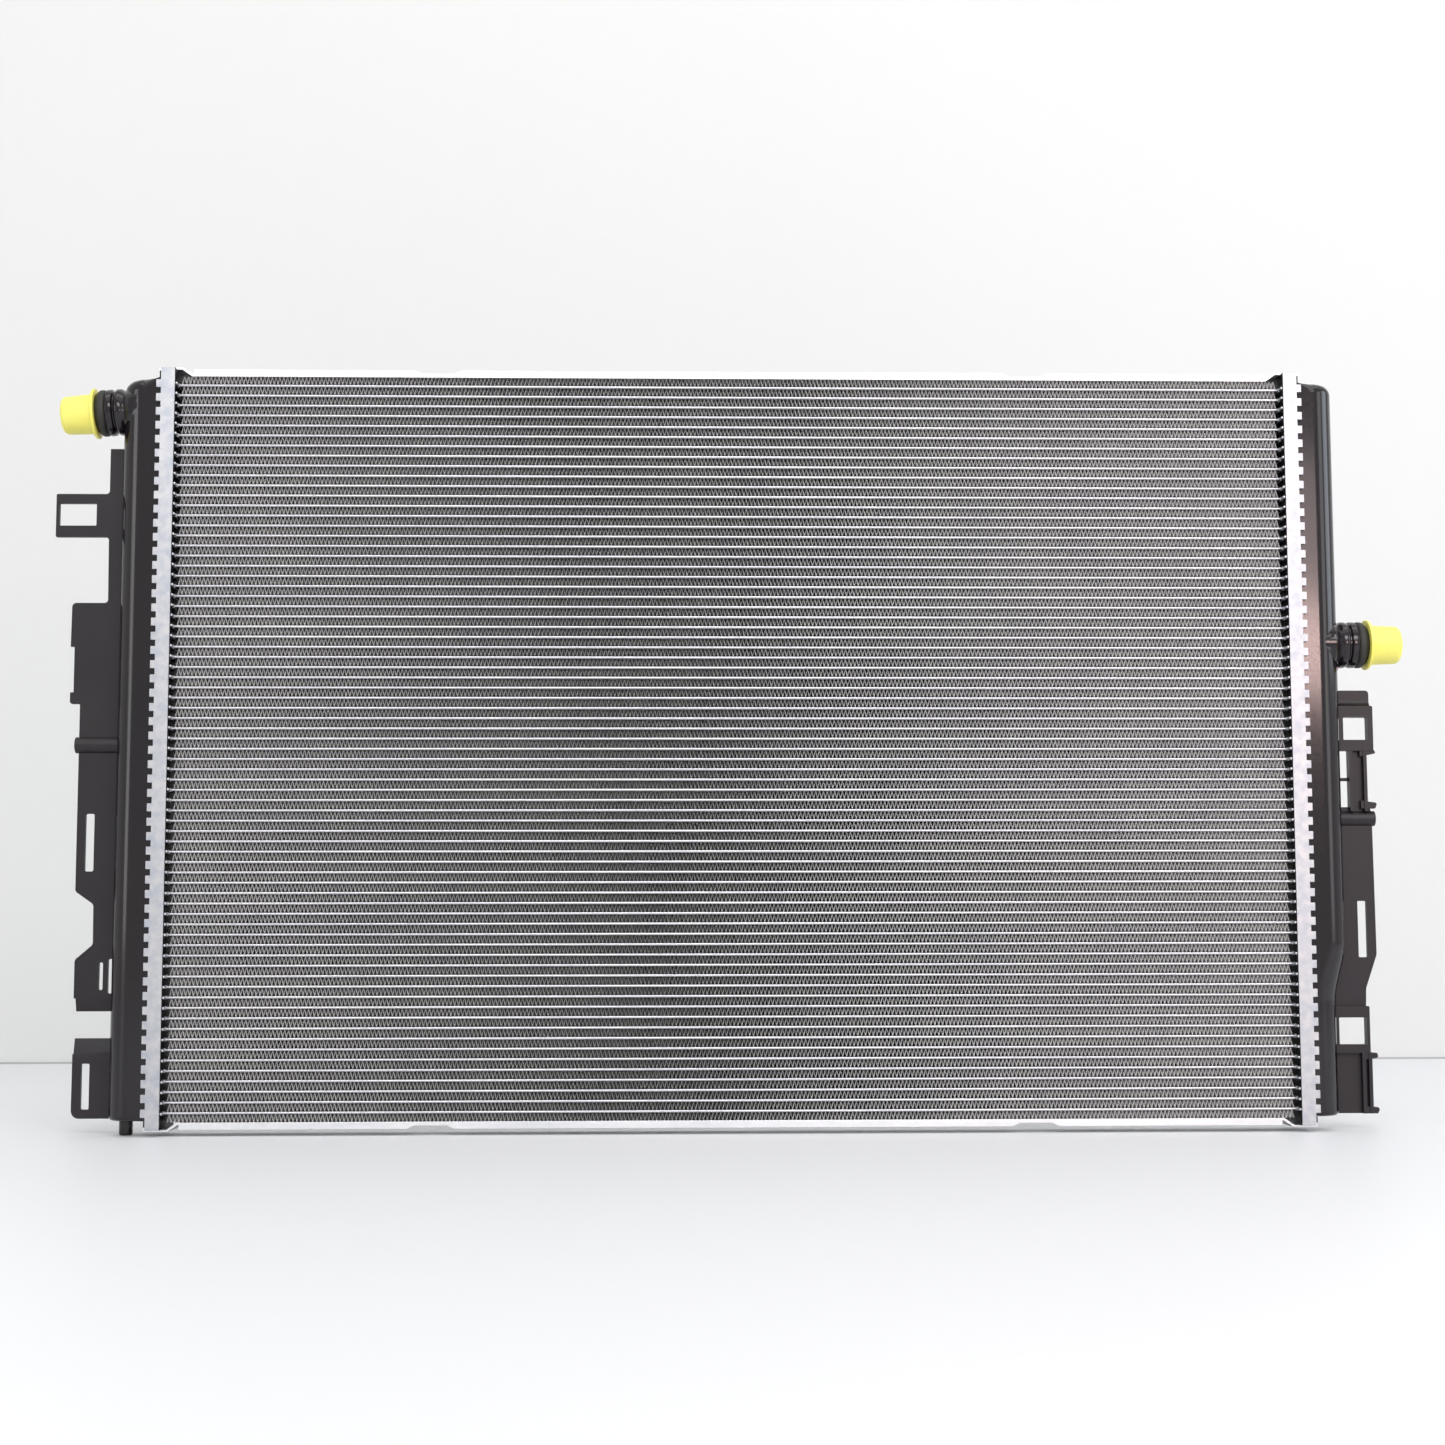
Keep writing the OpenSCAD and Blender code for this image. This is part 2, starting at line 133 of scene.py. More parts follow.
def useModifier(piece, kind, **settings):
    makeActive(piece)
    modifier = piece.modifiers.new(kind.title(), kind)
    for key, value in settings.items():
        setattr(modifier, key, value)
    bpy.ops.object.modifier_apply(modifier=modifier.name)


def smooth(piece, angle=30):
    makeActive(piece)
    bpy.ops.object.shade_smooth_by_angle(angle=math.radians(angle))
    useModifier(piece, "WEIGHTED_NORMAL", keep_sharp=True)


def joinPieces(first, *others):
    clearSelection()
    for piece in others:
        piece.select_set(True)
    first.select_set(True)
    bpy.context.view_layer.objects.active = first
    bpy.ops.object.join()
    return first


def combine(piece, tool, operation):
    useModifier(piece, "BOOLEAN", object=tool, operation=operation, solver="EXACT")
    bpy.data.objects.remove(tool)


def fixNormals(piece):
    startEdit(piece)
    bpy.ops.mesh.select_all(action="SELECT")
    bpy.ops.mesh.remove_doubles(threshold=1e-6)
    bpy.ops.mesh.normals_make_consistent(inside=False)
    endEdit()


def give(piece, body, slotName, material, *nodes):
    piece.data.materials.clear()
    piece.data.materials.append(material)
    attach(piece, body)
    if nodes:
        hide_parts(*nodes)


def newMaterial(name, **sockets):
    material = bpy.data.materials.new(name)
    material.use_nodes = True
    shader = material.node_tree.nodes["Principled BSDF"]
    for key, value in sockets.items():
        shader.inputs[key.replace("_", " ")].default_value = value
    return material, shader


def addNode(material, kind, **settings):
    node = material.node_tree.nodes.new(kind)
    for key, value in settings.items():
        if key in node.inputs:
            node.inputs[key].default_value = value
        else:
            setattr(node, key, value)
    return node


def link(material, output, target):
    material.node_tree.links.new(output, target)


def objectCoords(material, stretch=(1, 1, 1)):
    coords = addNode(material, "ShaderNodeTexCoord")
    mapping = addNode(material, "ShaderNodeMapping")
    mapping.inputs["Scale"].default_value = stretch
    link(material, coords.outputs["Object"], mapping.inputs["Vector"])
    return mapping.outputs["Vector"]


def noise(material, vector, scale, detail=4.0, roughness=0.55):
    node = addNode(material, "ShaderNodeTexNoise", Scale=scale, Detail=detail, Roughness=roughness)
    link(material, vector, node.inputs["Vector"])
    return node.outputs["Fac"]


def ramp(material, factor, stops):
    node = addNode(material, "ShaderNodeValToRGB")
    elements = node.color_ramp.elements
    while len(elements) < len(stops):
        elements.new(0.5)
    for element, (place, colour) in zip(elements, stops):
        element.position = place
        element.color = (*colour, 1)
    link(material, factor, node.inputs["Fac"])
    return node.outputs["Color"]


def span(material, factor, low, high, fromLow=0.3, fromHigh=0.7):
    node = addNode(material, "ShaderNodeMapRange")
    node.inputs["From Min"].default_value = fromLow
    node.inputs["From Max"].default_value = fromHigh
    node.inputs["To Min"].default_value = low
    node.inputs["To Max"].default_value = high
    link(material, factor, node.inputs["Value"])
    return node.outputs["Result"]


def bump(material, shader, height, distance, strength=1.0):
    node = addNode(material, "ShaderNodeBump", Strength=strength, Distance=distance)
    link(material, height, node.inputs["Height"])
    link(material, node.outputs["Normal"], shader.inputs["Normal"])


def grey(value):
    return (value, value, value)


def aluminiumSheet(name, light, dark, rough, blotch=90, stretch=(1, 1, 1), metallic=1.0):
    material, shader = newMaterial(name, Metallic=metallic)
    coords = objectCoords(material, stretch)
    cloudy = noise(material, coords, blotch, 6.0, 0.6)
    fine = noise(material, coords, blotch * 14, 3.0)
    link(material, ramp(material, cloudy, [(0.36, dark), (0.62, light)]), shader.inputs["Base Color"])
    link(material, span(material, fine, rough - 0.07, rough + 0.09), shader.inputs["Roughness"])
    bump(material, shader, fine, 0.00003, 0.5)
    return material


def mouldedPlastic(name, colour, warm, rough, grain, grainDepth):
    material, shader = newMaterial(name, Metallic=0.0)
    coords = objectCoords(material)
    cloudy = noise(material, coords, 25, 5.0)
    fine = noise(material, coords, grain, 4.0, 0.6)
    link(material, ramp(material, cloudy, [(0.3, colour), (0.7, warm)]), shader.inputs["Base Color"])
    link(material, span(material, fine, rough - 0.05, rough + 0.07), shader.inputs["Roughness"])
    bump(material, shader, fine, grainDepth, 0.6)
    return material


def distanceFrom(material, axis, middle):
    parts = addNode(material, "ShaderNodeSeparateXYZ")
    link(material, objectCoords(material), parts.inputs["Vector"])
    away = addNode(material, "ShaderNodeMath", operation="SUBTRACT")
    away.inputs[1].default_value = middle
    link(material, parts.outputs[axis], away.inputs[0])
    distance = addNode(material, "ShaderNodeMath", operation="ABSOLUTE")
    link(material, away.outputs["Value"], distance.inputs[0])
    return distance.outputs["Value"]


# paints light and shade into the base colour: multiplies it by a grey that changes with the distance from a middle
# plane
def shadeByDistance(material, axis, middle, places, greys):
    shader = material.node_tree.nodes["Principled BSDF"]
    plain = shader.inputs["Base Color"].links[0].from_socket
    low, high = places[0] - 1, places[-1] + 1
    factor = span(material, distanceFrom(material, axis, middle), 0, 1, low * mm, high * mm)
    inside = [(place - low) / (high - low) for place in places]
    lit = ramp(material, factor, list(zip(inside, map(grey, greys))))
    shaded = addNode(material, "ShaderNodeMix", data_type="RGBA", blend_type="MULTIPLY")
    shaded.inputs["Factor"].default_value = 1
    link(material, plain, shaded.inputs[6])
    link(material, lit, shaded.inputs[7])
    link(material, shaded.outputs[2], shader.inputs["Base Color"])


metals = {
    "header": {"light": (0.57, 0.565, 0.58), "dark": (0.44, 0.46, 0.51), "rough": 0.46, "blotch": 160},
    "plate": {"light": (0.88, 0.88, 0.90), "dark": (0.76, 0.77, 0.80), "rough": 0.38, "blotch": 60,
              "stretch": (0.2, 1, 1)},
    "tube": {"light": (0.62, 0.62, 0.64), "dark": (0.53, 0.53, 0.56), "rough": 0.34, "blotch": 40,
             "stretch": (0.15, 1, 1)},
    "fin": {"light": (0.96, 0.945, 0.94), "dark": (0.90, 0.885, 0.89), "rough": 0.55, "blotch": 50,
            "metallic": 0.1},
}
plastics = {
    "tank": {"colour": (0.004, 0.0025, 0.0045), "warm": (0.007, 0.0035, 0.0055), "rough": 0.12,
             "grain": 1400, "grainDepth": 0.000004},
    "bracket": {"colour": (0.011, 0.0085, 0.012), "warm": (0.016, 0.012, 0.015), "rough": 0.40,
                "grain": 1900, "grainDepth": 0.00003},
    "seal": {"colour": (0.014, 0.013, 0.012), "warm": (0.022, 0.021, 0.018), "rough": 0.6,
             "grain": 2500, "grainDepth": 0.00003},
    "gasket": {"colour": (0.012, 0.012, 0.012), "warm": (0.02, 0.02, 0.02), "rough": 0.7,
               "grain": 2000, "grainDepth": 0.00003},
}
# painted light and shade by distance from a middle plane: places in mm, then the grey at each of them
paintedShades = {
    "trayFace": ((328.45, 328.55, 328.8, 328.95), (1, 0.03, 0.03, 1)),  # painted shade: the tray's face behind the fins' ends is painted nearly black
    # painted shade: the tubes are painted darker deeper into the core, within 8 mm of its middle plane
    "tubeDepthShade": ((8, 11.5), (0.5, 1)),
    # painted shade: the fins are painted darker deeper into the core, in place of the shade between them
    "finDepthShade": ((3, 9), (0.5, 1)),
    # painted light and shade: the fins are painted lighter or darker across the core's width, as the light falls
    # on them
    "finWidthLight": ((90, 208, 325, 384, 442, 560, 677), (0.8, 0.81, 0.9, 0.97, 1, 0.95, 0.86)),
    "finWidthLightFrom": -0.4,  # metres from the core's middle, so all of the core lies to one side
}
specularLevels = {"fin": 0.2, "bracket": 0.4}


def setSpecular(material, level):
    material.node_tree.nodes["Principled BSDF"].inputs["Specular IOR Level"].default_value = level


headerMetal = aluminiumSheet("headerMetal", **metals["header"])
# painted shade: the trays' faces towards the fins are painted nearly black
shadeByDistance(headerMetal, "X", coreMiddle.x, *paintedShades["trayFace"])
plateMetal = aluminiumSheet("plateMetal", **metals["plate"])
tubeMetal = aluminiumSheet("tubeMetal", **metals["tube"])
# painted shade: the tubes darker deeper into the core
shadeByDistance(tubeMetal, "Y", 0, *paintedShades["tubeDepthShade"])
finMetal = aluminiumSheet("finMetal", **metals["fin"])
setSpecular(finMetal, specularLevels["fin"])
# painted shade: the fins darker deeper into the core
shadeByDistance(finMetal, "Y", 0, *paintedShades["finDepthShade"])
# painted light and shade: the fins lighter or darker across the core's width
shadeByDistance(finMetal, "X", coreMiddle.x + paintedShades["finWidthLightFrom"], *paintedShades["finWidthLight"])
tankPlastic = mouldedPlastic("tankPlastic", **plastics["tank"])
bracketPlastic = mouldedPlastic("bracketPlastic", **plastics["bracket"])
setSpecular(bracketPlastic, specularLevels["bracket"])
sealRubber = mouldedPlastic("sealRubber", **plastics["seal"])
gasketRubber = mouldedPlastic("gasketRubber", **plastics["gasket"])


def softYellow():
    material, shader = newMaterial("capYellow", Metallic=0.0, Subsurface_Weight=0.25, Subsurface_Scale=0.002)
    shader.inputs["Subsurface Radius"].default_value = (1.0, 0.9, 0.2)
    coords = objectCoords(material)
    cloudy = noise(material, coords, 60, 4.0)
    fine = noise(material, coords, 1600, 3.0)
    link(material, ramp(material, cloudy, [(0.3, (0.78, 0.72, 0.13)), (0.7, (0.83, 0.78, 0.18))]),
         shader.inputs["Base Color"])
    link(material, span(material, fine, 0.36, 0.5), shader.inputs["Roughness"])
    bump(material, shader, fine, 0.00002, 0.4)
    return material


capYellow = softYellow()
print("materials made")


finSizes = {
    "period": 2.25 * mm,
    "sheet": 0.09 * mm,
    "height": 4.5 * mm,
    "tubePitch": 6.0 * mm,
    "rowDepths": (0.24, 0.38, 0.62),  # where the sheet turns, from the front
    "rowSteps": (0, 1.7 * mm, -1.7 * mm),  # sideways steps that close the view through
    "play": 0.3 * mm,  # each strip sits this much further along at most
    "lift": 0.05 * mm,  # each strip sits this much higher
    "perBank": 12,  # and one more in the last bank
    "seed": 7,
}


def makeFinWave(s):
    clearSelection()
    rows = len(s["rowDepths"]) + 1
    bpy.ops.mesh.primitive_grid_add(x_subdivisions=2, y_subdivisions=rows, size=1, location=(0, 0, 0))
    wave = bpy.context.object
    wave.name = wave.data.name = "finWave"
    depth = coreHigh.y - coreLow.y
    wave.scale = (s["period"], depth, 1)
    bpy.ops.object.transform_apply(location=False, rotation=False, scale=True)
    startEdit(wave)
    pickVertices(wave, lambda p: abs(p.x) < 0.1 * s["period"])
    bpy.ops.transform.translate(value=(0, 0, s["height"] - s["sheet"]))
    placed = [((i + 1) / rows - 0.5) * depth for i in range(rows - 1)]
    for y, part, step in reversed(list(zip(placed, s["rowDepths"], s["rowSteps"]))):
        pickVertices(wave, lambda p: abs(p.y - y) < 0.001 * depth)
        bpy.ops.transform.translate(value=(step, (part - 0.5) * depth - y, 0))
    endEdit()
    return wave


def makeFinStrip(s):
    strip = makeFinWave(s)
    length = coreHigh.x - coreLow.x - s["play"]
    count = round(length / s["period"])
    useModifier(strip, "ARRAY", count=count, use_relative_offset=False, use_constant_offset=True,
                constant_offset_displace=(length / count, 0, 0), use_merge_vertices=True,
                merge_threshold=1e-6)
    useModifier(strip, "SOLIDIFY", thickness=s["sheet"], offset=1)
    low = Vector([min(v.co[i] for v in strip.data.vertices) for i in range(3)])
    low.x -= min(s["rowSteps"])
    strip.data.transform(Matrix.Translation(Vector((coreLow.x, coreLow.y, 0)) - low))
    print("waves in a strip:", count)
    return strip


def makeFins(s):
    random.seed(s["seed"])
    strip = makeFinStrip(s)
    top = coreHigh.z
    number = 0
    for bank in range(1, 7):
        copies = []
        for k in range(s["perBank"] + (bank == 6)):
            copy = strip.copy()
            copy.data = strip.data.copy()
            bpy.context.scene.collection.objects.link(copy)
            z = top - s["height"] - number * s["tubePitch"] + s["lift"]
            copy.data.transform(Matrix.Translation((random.random() * s["play"], 0, z)))
            copies.append(copy)
            number += 1
        whole = joinPieces(*copies)
        whole.name = whole.data.name = f"fins{bank}"
        give(whole, "root", "fin", finMetal, f"fin_bank_{bank}")
    bpy.data.objects.remove(strip)
    print("fins made:", number, "strips")


makeFins(finSizes)


def rework(node, name, bevel, segments=2, angle=40):
    source = frame["nodes"][node]
    piece = source.copy()
    piece.data = source.data.copy()
    piece.parent = None
    bpy.context.scene.collection.objects.link(piece)
    for key in list(piece.keys()):
        del piece[key]
    piece.name = piece.data.name = name
    startEdit(piece)
    bpy.ops.mesh.select_all(action="SELECT")
    bpy.ops.mesh.remove_doubles(threshold=2e-6)
    endEdit()
    useModifier(piece, "BEVEL", width=bevel, segments=segments, limit_method="ANGLE",
                angle_limit=math.radians(angle))
    smooth(piece, 35)
    return piece


# the small tapered ribs on the tray, one for each tube at the front and the back
dart = {
    "trayFace": 328.7 * mm,  # from the core's middle
    "reach": 1.3 * mm,
    "root": 0.3 * mm,  # how far it goes into the tray
    "height": 1.5 * mm,
    "from": 13.2 * mm,  # from the middle plane of the core
    "to": 19.0 * mm,
    "bevel": 0.45 * mm,
    "pitch": 6 * mm,
    "count": 72,
}


def makeDarts(d):
    face = d["trayFace"]
    first = addCube("dart", (face - d["reach"], -d["to"], -d["height"] / 2),
                    (face + d["root"], -d["from"], d["height"] / 2))
    useModifier(first, "BEVEL", width=d["bevel"], segments=3)
    top = coreHigh.z - finSizes["height"] - d["height"] / 2
    rows = []
    for i in range(d["count"]):
        for depth in (1, -1):
            copy = first.copy()
            copy.data = first.data.copy()
            bpy.context.scene.collection.objects.link(copy)
            copy.data.transform(Matrix.Scale(depth, 4, (0, 1, 0)))
            copy.data.transform(Matrix.Translation((0, 0, top - i * d["pitch"])))
            if depth < 0:
                copy.data.flip_normals()
            rows.append(copy)
    bpy.data.objects.remove(first)
    return joinPieces(*rows)


bevels = {"header": 0.22 * mm, "bracket": 0.35 * mm, "sidePlate": 0.25 * mm}


def makeHeader(side):
    tray = rework(f"{side}_header", f"{side}Header", bevels["header"])
    darts = makeDarts(dart)
    if side == "left":
        darts.data.transform(Matrix.Scale(-1, 4, (1, 0, 0)))
        darts.data.flip_normals()
    darts.data.transform(Matrix.Translation((coreMiddle.x, 0, 0)))
    smooth(darts, 60)
    give(joinPieces(tray, darts), "root", "header", headerMetal, f"{side}_header")


for side in ("left", "right"):
    makeHeader(side)
    bracket = rework(f"{side}_bracket", f"{side}Bracket", bevels["bracket"])
    give(bracket, "root", "bracket", bracketPlastic, f"{side}_bracket")
for side in ("top", "bottom"):
    plate = rework(f"{side}_side_plate", f"{side}SidePlate", bevels["sidePlate"])
    give(plate, "root", "side_plate", plateMetal, f"{side}_side_plate")
print("sheet metal and brackets made")


def turn(name, outline, sides=64):
    clearSelection()
    radius, height = outline[0]
    bpy.ops.mesh.primitive_circle_add(vertices=sides, radius=radius, location=(0, 0, height))
    piece = bpy.context.object
    piece.name = piece.data.name = name
    bpy.ops.object.transform_apply(location=True, rotation=True, scale=True)
    startEdit(piece, "EDGE")
    bpy.ops.mesh.select_all(action="SELECT")
    for newRadius, newHeight in outline[1:]:
        bpy.ops.mesh.extrude_region_move(TRANSFORM_OT_translate={"value": (0, 0, newHeight - height)})
        grow = newRadius / radius
        bpy.ops.transform.resize(value=(grow, grow, 1), center_override=(0, 0, newHeight))
        radius, height = newRadius, newHeight
    endEdit()
    fixNormals(piece)
    return piece


def turnClosed(name, outline, sides=64):
    piece = turn(name, outline + [outline[0]], sides)
    fixNormals(piece)
    return piece


def standAlong(piece, root, direction):
    turnTo = Vector(direction).normalized().to_track_quat("Z", "Y").to_matrix().to_4x4()
    piece.data.transform(Matrix.Translation(root) @ turnTo)


jointAxes = {j["name"]: Vector(j["axis"]) for j in frame["joints"]}
capLow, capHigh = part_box("right_cap")

spigot = {
    "collar": 13.8 * mm,  # radius
    "nose": 10.7 * mm,  # radius
    "bore": 8.6 * mm,  # radius
    "length": 34 * mm,
    "capEnd": 39.2 * mm,
    "capFront": 18.7 * mm,
}


def mountPlace(name):
    for mount in frame["record"]["mounts"]:
        if mount["name"] == name:
            return Vector(mount["pos_m"])


rightRoot = Vector((capHigh.x - spigot["capEnd"], 0, (capLow.z + capHigh.z) / 2))
rightAxis = jointAxes["right_cap_slide"]
leftAxis = jointAxes["left_cap_slide"]
leftRoot = mountPlace("left_spigot") - leftAxis.normalized() * spigot["length"]


# outlines of turned pieces: radius, then height along the spigot from its root
def spigotOutline(s):
    c, nose, length = s["collar"], s["nose"], s["length"]
    flange = [(s["bore"], -9 * mm), (c + 1.2 * mm, -9 * mm), (c + 1.2 * mm, -2.4 * mm),
              (c + 0.3 * mm, -1.2 * mm), (c - 0.8 * mm, 0)]
    firstCollar = [(c - 1.3 * mm, 1.2 * mm), (c - 0.9 * mm, 2.1 * mm), (c - 0.2 * mm, 2.9 * mm),
                   (c, 3.8 * mm), (c, 5.3 * mm), (c - 0.3 * mm, 6.2 * mm), (c - 1.0 * mm, 6.9 * mm)]
    secondCollar = [(c - 1.7 * mm, 7.3 * mm), (c - 1.7 * mm, 7.8 * mm), (c - 0.9 * mm, 8.1 * mm),
                    (c - 0.2 * mm, 8.5 * mm), (c, 9.1 * mm), (c, 11.4 * mm), (c - 0.3 * mm, 11.9 * mm),
                    (c - 0.8 * mm, 12.2 * mm)]
    hoseNose = [(nose, 12.2 * mm), (nose, length - 1.5 * mm), (nose - 0.5 * mm, length - 0.4 * mm),
                (nose - 1.2 * mm, length), (s["bore"], length)]
    return flange + firstCollar + secondCollar + hoseNose


def sealOutline(s):
    c, r = s["collar"], s["nose"] + 0.05 * mm
    return [(r, 12.3 * mm), (c - 1.1 * mm, 12.3 * mm), (c - 0.7 * mm, 12.7 * mm), (c - 0.15 * mm, 13.2 * mm),
            (c, 13.8 * mm), (c, 15.4 * mm), (c - 0.2 * mm, 16.0 * mm), (c - 0.7 * mm, 16.6 * mm),
            (c - 1.7 * mm, 17.6 * mm), (r + 0.7 * mm, 18.4 * mm), (r, 18.5 * mm)]


def capOutline(s):
    inner = s["nose"] + 0.15 * mm
    outer = inner + 1.0 * mm
    front, end, flange = s["capFront"], s["capEnd"], 15 * mm
    corner = 3 * mm
    arc = [(outer - 0.6 * mm - corner + corner * math.cos(math.radians(t)),
            end - corner + corner * math.sin(math.radians(t))) for t in range(0, 91, 15)]
    return ([(inner, front + 0.2 * mm), (inner + 0.3 * mm, front), (flange - 0.5 * mm, front),
             (flange - 0.1 * mm, front + 0.25 * mm), (flange, front + 0.7 * mm), (flange, front + 1.2 * mm),
             (flange - 0.2 * mm, front + 1.6 * mm), (flange - 0.6 * mm, front + 1.8 * mm),
             (outer + 1.2 * mm, front + 1.8 * mm), (outer + 0.4 * mm, front + 2.2 * mm),
             (outer + 0.05 * mm, front + 3.0 * mm)]
            + arc + [(0.4 * mm, end), (0.4 * mm, end - 1 * mm), (inner - 2.4 * mm, end - 1 * mm),
                     (inner - 1.1 * mm, end - 1.6 * mm), (inner - 0.6 * mm, end - 3.2 * mm),
                     (inner, s["length"] + 0.4 * mm)])


def fillCentre(piece):
    startEdit(piece)
    bpy.ops.mesh.select_all(action="SELECT")
    bpy.ops.mesh.remove_doubles(threshold=0.5 * mm)  # draws the tiny rings together
    endEdit()


for side, root, axis in (("left", leftRoot, leftAxis), ("right", rightRoot, rightAxis)):
    seal = turnClosed(f"{side}Seal", sealOutline(spigot))
    standAlong(seal, root, axis)
    smooth(seal, 40)
    give(seal, "root", "seal", sealRubber, f"{side}_spigot_seal")
    cap = turnClosed(f"{side}Cap", capOutline(spigot))
    standAlong(cap, root, axis)
    smooth(cap, 40)
    give(cap, f"{side}_cap", "cap", capYellow, f"{side}_cap")
print("seals and caps made")


tankSizes = {
    "edge": 14 * mm,  # radius of the long outer edges
    "pastRoot": 1 * mm,  # the tank's outer side past the spigot's root
    "endGap": 0.8 * mm,  # from the core's top to the tank's top
    "footDepth": 17.8 * mm,  # half of it
    "footStep": 2.3 * mm,
    "footEnd": 3.2 * mm,
    "overGasket": 0.05 * mm,
    "underTabs": 1.55 * mm,
    "leftTopCorner": 8 * mm,
    "rightTopCorner": 6 * mm,
    "bottomCorner": 2.5 * mm,
    "step": 6.5 * mm,  # how much narrower the right tank is at its lower end
    "stepTop": -116 * mm,  # from the core's middle
    "stepEnd": -152 * mm,
    "stepRows": 10,
}
tankOut = rightRoot.x + tankSizes["pastRoot"] - coreMiddle.x
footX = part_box("right_gasket")[1].x + tankSizes["overGasket"] - coreMiddle.x
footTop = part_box("right_header")[1].x - tankSizes["underTabs"] - coreMiddle.x
tankTop = coreHigh.z - coreMiddle.z - tankSizes["endGap"]


def tankBlank(name, s):
    y, z = s["footDepth"], tankTop + s["footEnd"]
    piece = addCube(name, (footX, -y, -z), (footTop, y, z))
    startEdit(piece)
    pickFaces(piece, lambda c, n: n.x > 0.9)
    bpy.ops.mesh.extrude_region_move(TRANSFORM_OT_translate={"value": (0, 0, 0)})
    bpy.ops.transform.resize(value=(1, (y - s["footStep"]) / y, tankTop / z), center_override=(0, 0, 0))
    bpy.ops.mesh.extrude_region_move(TRANSFORM_OT_translate={"value": (tankOut - footTop, 0, 0)})
    endEdit()
    return piece


def narrowBelow(piece, s):
    places = [k / s["stepRows"] for k in range(s["stepRows"] + 1)]
    rows = [(s["stepTop"] + (s["stepEnd"] - s["stepTop"]) * t, t * t * (3 - 2 * t)) for t in places]
    for z, share in rows:
        startEdit(piece)
        bpy.ops.mesh.select_all(action="SELECT")
        bpy.ops.mesh.bisect(plane_co=(0, 0, z), plane_no=(0, 0, 1))
        endEdit()
    startEdit(piece)
    for z, share in rows[1:] + [(-tankTop, 1)]:
        pickVertices(piece, lambda p: p.x > tankOut - 1e-5 and abs(p.z - z) < 1e-5)
        bpy.ops.transform.translate(value=(-s["step"] * share, 0, 0))
    endEdit()


def roundTank(piece, s, topCorner, bottomCorner):
    startEdit(piece, "EDGE")
    pickEdges(piece, lambda a, b: min(a.x, b.x) > footTop + 5 * mm and abs(a.y - b.y) < 1e-6
              and abs(a.z - b.z) > 1e-6)
    bpy.ops.mesh.bevel(offset=s["edge"], segments=14, profile=0.5, affect="EDGES", clamp_overlap=False)
    endEdit()
    for z, corner in ((tankTop, topCorner), (-tankTop, bottomCorner)):
        startEdit(piece)
        pickEdges(piece, lambda a, b: abs(a.z - z) < 1e-6 and abs(b.z - z) < 1e-6
                  and max(a.x, b.x) > footTop + 1 * mm)
        bpy.ops.mesh.bevel(offset=corner, segments=6, profile=0.5, affect="EDGES", clamp_overlap=False)
        endEdit()


# the rib under the right spigot
gusset = {
    "overlap": 2 * mm,  # into the tank and into the collar
    "inside": 4 * mm,
    "reach": 6.4 * mm,
    "height": 9 * mm,
    "halfWidth": 1.2 * mm,
    "slope": (-3.8 * mm, 0, 3.6 * mm),  # moves the lower outer corner
}


def makeGusset(g, root):
    x = root.x - g["overlap"]
    z = root.z - spigot["collar"] + g["overlap"]
    rib = addCube("gusset", (x - g["inside"], -g["halfWidth"], z - g["height"]),
                  (x + g["reach"], g["halfWidth"], z))
    startEdit(rib)
    pickVertices(rib, lambda p: p.x > x and p.z < z - 1 * mm)
    bpy.ops.transform.translate(value=g["slope"])
    endEdit()
    return rib


def closeEnds(piece):
    startEdit(piece, "EDGE")
    bpy.ops.mesh.select_non_manifold()
    bpy.ops.mesh.edge_face_add()
    endEdit()
    fixNormals(piece)


def makeTank(side, s):
    piece = tankBlank(f"{side}Tank", s)
    if side == "right":
        narrowBelow(piece, s)
    roundTank(piece, s, s[f"{side}TopCorner"], s["bottomCorner"])
    fixNormals(piece)
    if side == "left":
        piece.data.transform(Matrix.Scale(-1, 4, (1, 0, 0)))
        fixNormals(piece)
    piece.data.transform(Matrix.Translation(coreMiddle))
    root, axis = (leftRoot, leftAxis) if side == "left" else (rightRoot, rightAxis)
    neck = turnClosed("neck", spigotOutline(spigot))
    standAlong(neck, root, axis)
    combine(piece, neck, "UNION")
    if side == "right":
        combine(piece, makeGusset(gusset, root), "UNION")
    bore = turn("bore", [(spigot["bore"], -12 * mm), (spigot["bore"], spigot["length"] + 1 * mm)])
    closeEnds(bore)
    standAlong(bore, root, axis)
    combine(piece, bore, "DIFFERENCE")
    smooth(piece, 32)
    give(piece, "root", "tank", tankPlastic, f"{side}_tank")


for side in ("left", "right"):
    makeTank(side, tankSizes)

pegSizes = {"radius": 3.9 * mm, "length": 9.6 * mm, "flare": 0.8 * mm, "flareFrom": 8.2 * mm,
            "centre": 0.3 * mm}


def makePeg(p):
    r = p["radius"]
    outline = [(p["centre"], 0), (r - 0.9 * mm, 0), (r - 0.3 * mm, 0.3 * mm), (r, 1.0 * mm),
               (r, p["flareFrom"]), (r + p["flare"], p["length"]), (p["centre"], p["length"])]
    peg = turn("leftPeg", outline, 40)
    fillCentre(peg)
    peg.data.transform(Matrix.Translation((mountPlace("locating_peg").x, 0, 0)))
    fixNormals(peg)
    smooth(peg, 40)
    give(peg, "root", "tank", tankPlastic)


makePeg(pegSizes)
print("tanks made")


def dress(node, material):
    mesh = frame["nodes"][node].data
    mesh.materials.clear()
    mesh.materials.append(material)


for node in tubeBanks:
    dress(node, tubeMetal)
for node in ("left_gasket", "right_gasket"):
    dress(node, gasketRubber)


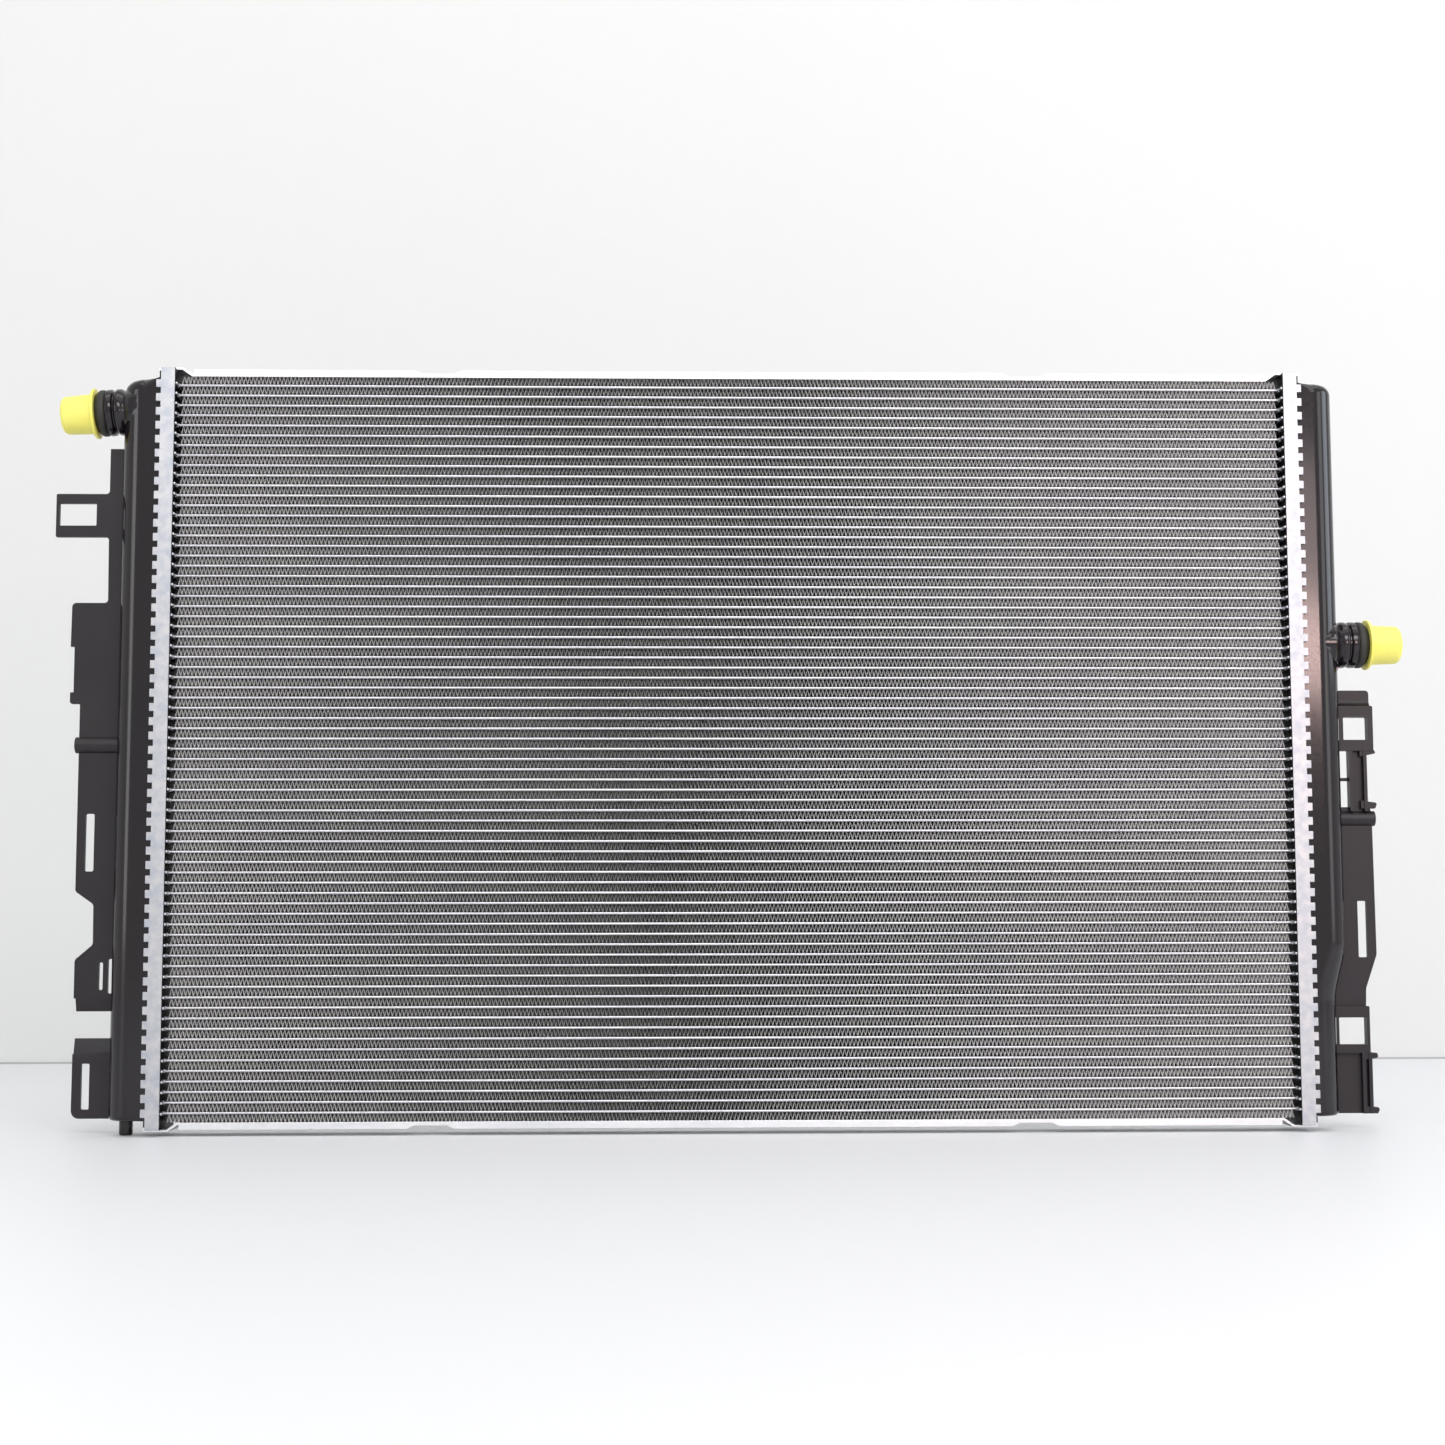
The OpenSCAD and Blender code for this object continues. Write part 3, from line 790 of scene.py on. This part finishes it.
def paleMaterial(name, colour, rough):
    material, shader = newMaterial(name)
    coords = objectCoords(material)
    cloudy = noise(material, coords, 1.2, 2.0)
    low = tuple(c * 0.985 for c in colour)
    link(material, ramp(material, cloudy, [(0.3, low), (0.7, colour)]), shader.inputs["Base Color"])
    shader.inputs["Roughness"].default_value = rough
    return material


room = {
    "wallDistance": 0.77,
    "halfWidth": 4.0,
    "front": -4.0,
    "height": 4.0,
    "thickness": 0.02,
    "jointDepth": 0.001,  # the dark line where the floor meets the wall
    "jointHeight": 0.0016,
    "daylight": 0.75,
}
floorPale = paleMaterial("floorPale", (0.72, 0.73, 0.745), 0.5)
wallPale = paleMaterial("wallPale", (0.69, 0.69, 0.685), 0.8)
jointGrey = paleMaterial("jointGrey", (0.42, 0.42, 0.43), 0.8)


def addStage(r):
    side, back = r["halfWidth"], r["wallDistance"]
    floor = addCube("floor", (-side, r["front"], -r["thickness"]), (side, back, 0))
    wall = addCube("wall", (-side, back, -r["thickness"]), (side, back + r["thickness"], r["height"]))
    joint = addCube("joint", (-side, back - r["jointDepth"], 0), (side, back, r["jointHeight"]))
    for piece, material in ((floor, floorPale), (wall, wallPale), (joint, jointGrey)):
        piece.data.materials.append(material)


addStage(room)


# place and target in metres, size as width and height, power in watts
lamps = {
    "overhead": {"place": (0.2, -0.6, 2.4), "target": (0.15, -0.3, 0), "size": (3.0, 1.6), "power": 10.5},
    "frontHigh": {"place": (0.3, -2.3, 1.7), "target": (0.1, 0, 0.2), "size": (2.4, 0.8), "power": 37},
    "wallWash": {"place": (0.5, -0.1, 2.1), "target": (0.4, 0.77, 0.6), "size": (3.2, 0.5), "power": 4.5},
    "leftSoft": {"place": (-2.2, -1.5, 0.7), "target": (0, 0, 0.25), "size": (0.7, 1.2), "power": 7},
    "rightSoft": {"place": (2.2, -1.6, 0.7), "target": (0, 0, 0.25), "size": (0.7, 1.2), "power": 5},
    "rightWindow": {"place": (2.2, -0.3, 0.9), "target": (0.36, 0, 0.4), "size": (0.9, 0.8), "power": 7.5,
                    "colour": (0.8, 0.88, 1.0)},
    "warmLamp": {"place": (0.776, -1.5, 0.477), "target": (0.343, 0, 0.284), "size": (0.3, 0.115),
                 "power": 2.1, "colour": (1.0, 0.71, 0.67)},
    "warmGlow": {"place": (0.776, -1.5, 0.63), "target": (0.343, 0, 0.36), "size": (0.3, 0.19),
                 "power": 0.7, "colour": (1.0, 0.8, 0.8)},
}


def addLight(name, place, target, size, power, colour=(1, 1, 1)):
    light = bpy.data.lights.new(name, "AREA")
    light.shape = "RECTANGLE"
    light.size, light.size_y = size
    light.energy = power
    light.color = colour
    lamp = bpy.data.objects.new(name, light)
    bpy.context.scene.collection.objects.link(lamp)
    lamp.location = place
    lamp.rotation_mode = "QUATERNION"
    lamp.rotation_quaternion = (Vector(target) - Vector(place)).to_track_quat("-Z", "Y")


def addDaylight(strength):
    world = bpy.data.worlds.new("room")
    bpy.context.scene.world = world
    world.use_nodes = True
    background = world.node_tree.nodes["Background"]
    background.inputs["Color"].default_value = (1, 1, 1, 1)
    background.inputs["Strength"].default_value = strength


for name, settings in lamps.items():
    addLight(name, **settings)
addDaylight(room["daylight"])
bpy.context.scene.view_settings.view_transform = "Standard"

cameraSizes = {
    "lens": 56.0554,
    "sensor": 36,
    "near": 0.05,
    "far": 30,
    "place": (-42.8, -1327.9, -114.6),  # in mm from the core's middle
    "up": 5.52,  # degrees, as the two below
    "right": 1.59,
    "roll": -0.124,
}


def addCamera(c):
    camera = bpy.data.cameras.new("camera")
    camera.sensor_width = c["sensor"]
    camera.lens = c["lens"]
    camera.clip_start, camera.clip_end = c["near"], c["far"]
    seen = bpy.data.objects.new("camera", camera)
    bpy.context.scene.collection.objects.link(seen)
    up, right, roll = (math.radians(c[key]) for key in ("up", "right", "roll"))
    look = Matrix.Rotation(-right, 4, "Z") @ Matrix.Rotation(math.radians(90) + up, 4, "X")
    place = coreMiddle + Vector(c["place"]) * mm
    seen.matrix_world = Matrix.Translation(place) @ look @ Matrix.Rotation(roll, 4, "Z")
    bpy.context.scene.camera = seen


addCamera(cameraSizes)
print("stage, lights and camera added")
